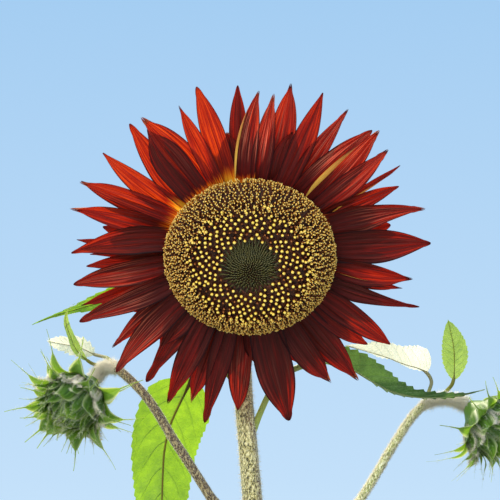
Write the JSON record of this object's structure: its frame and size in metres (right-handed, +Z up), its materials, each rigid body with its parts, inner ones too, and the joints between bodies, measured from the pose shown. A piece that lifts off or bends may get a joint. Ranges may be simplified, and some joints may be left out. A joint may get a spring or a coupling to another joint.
{
  "type": "sunflower plant",
  "caption": "Rooted sunflower plant in flower: a tall leafy stem with one open dark red head facing forward and down, and nodding green side buds.",
  "frame": {"origin": "middle of the flat cut under the main stem, at ground level", "axes": "+Z up along the plant, +X to the right of someone who faces the open head, +Y away from them; the head looks along -Y and down"},
  "size_m": [0.5076, 0.509, 1.1927],
  "materials": {
    "stem": "olive green stem, rough with short pale bristles",
    "side_stem": "slender green-brown stem with pale woolly hairs",
    "green_bract": "matt green, lighter at the edges, with white hairs",
    "petal": "satin dark red, ribbed along its length, orange at the root",
    "disc": "rough dark florets with golden stigmas and pollen",
    "leaf": "matt mid green with paler veins and a toothed edge"
  },
  "bodies": {
    "root": {"main_stem": "stem", "left_side_stem": "side_stem", "right_side_stem": "side_stem", "head_receptacle": "green_bract", "ray_petals": "petal", "disc_florets": "disc", "left_bud": "green_bract", "right_bud": "green_bract", "hanging_leaf": "leaf", "right_leaf": "leaf", "upper_left_leaf": "leaf", "pale_leaf": "leaf", "upright_leaf": "leaf", "bud_leaf": "leaf", "small_leaf": "leaf", "stem_leaf_01": "leaf", "stem_leaf_02": "leaf", "stem_leaf_03": "leaf", "stem_leaf_04": "leaf", "stem_leaf_05": "leaf", "stem_leaf_06": "leaf", "stem_leaf_07": "leaf", "stem_leaf_08": "leaf", "stem_leaf_09": "leaf", "stem_leaf_10": "leaf", "stem_leaf_11": "leaf", "stem_leaf_12": "leaf", "stem_leaf_13": "leaf", "stem_leaf_14": "leaf", "stem_leaf_15": "leaf", "stem_leaf_16": "leaf", "stem_leaf_17": "leaf", "stem_leaf_18": "leaf"}
  },
  "joints": []
}
